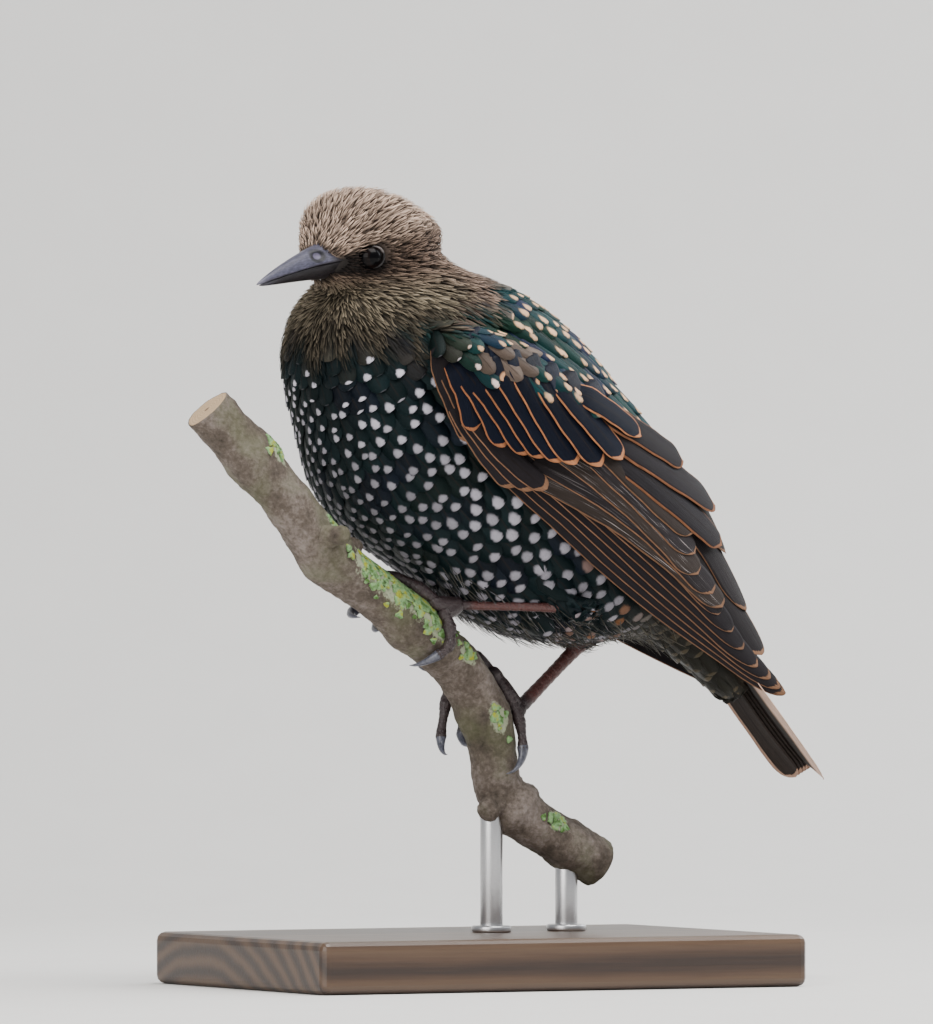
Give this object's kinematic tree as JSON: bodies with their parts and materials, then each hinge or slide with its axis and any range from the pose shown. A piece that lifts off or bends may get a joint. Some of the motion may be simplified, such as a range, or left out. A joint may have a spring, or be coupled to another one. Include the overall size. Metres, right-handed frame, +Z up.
{
  "type": "perched starling model on a display stand",
  "caption": "Life-size still model of a young starling moulting into spotted plumage, gripping a cut length of branch held by rods on a flat base.",
  "frame": {"origin": "centre of the base's flat underside, on the surface that the part stands on", "axes": "+Z up; the bird's body faces -Y and its tail is at +Y; +X is the bird's left side"},
  "size_m": [0.088, 0.1654, 0.1824],
  "materials": {
    "head_feathers": "soft matte beige-brown hair-like feathers",
    "breast_feathers": "near-black feathers with a faint green and blue gloss, white and buff tip spots",
    "wing_feathers": "dark brown flight feathers and coverts with orange-buff edges",
    "bill_horn": "satin slate horn",
    "eye_gloss": "wet glossy dark brown, nearly black",
    "leg_skin": "scaled reddish brown skin, darker toes",
    "claw_horn": "satin blue-grey horn",
    "bark": "rough grey-brown bark with patches of grey-green lichen",
    "base_wood": "satin dark walnut",
    "rod_steel": "fine brushed steel"
  },
  "bodies": {
    "root": {"head": "head_feathers", "neck": "head_feathers", "torso": "breast_feathers", "upper_bill": "bill_horn", "lower_bill": "bill_horn", "eye_left": "eye_gloss", "eye_right": "eye_gloss", "wing_left": "wing_feathers", "wing_right": "wing_feathers", "tail": "wing_feathers", "tibia_left": "breast_feathers", "tibia_right": "breast_feathers", "tarsus_left": "leg_skin", "tarsus_right": "leg_skin", "foot_left": "leg_skin", "foot_right": "leg_skin", "claw_left_hallux": "claw_horn", "claw_left_toe_inner": "claw_horn", "claw_left_toe_middle": "claw_horn", "claw_left_toe_outer": "claw_horn", "claw_right_hallux": "claw_horn", "claw_right_toe_inner": "claw_horn", "claw_right_toe_middle": "claw_horn", "claw_right_toe_outer": "claw_horn", "perch": "bark", "stand_base": "base_wood", "stand_rod_1": "rod_steel", "stand_rod_2": "rod_steel"}
  },
  "joints": []
}
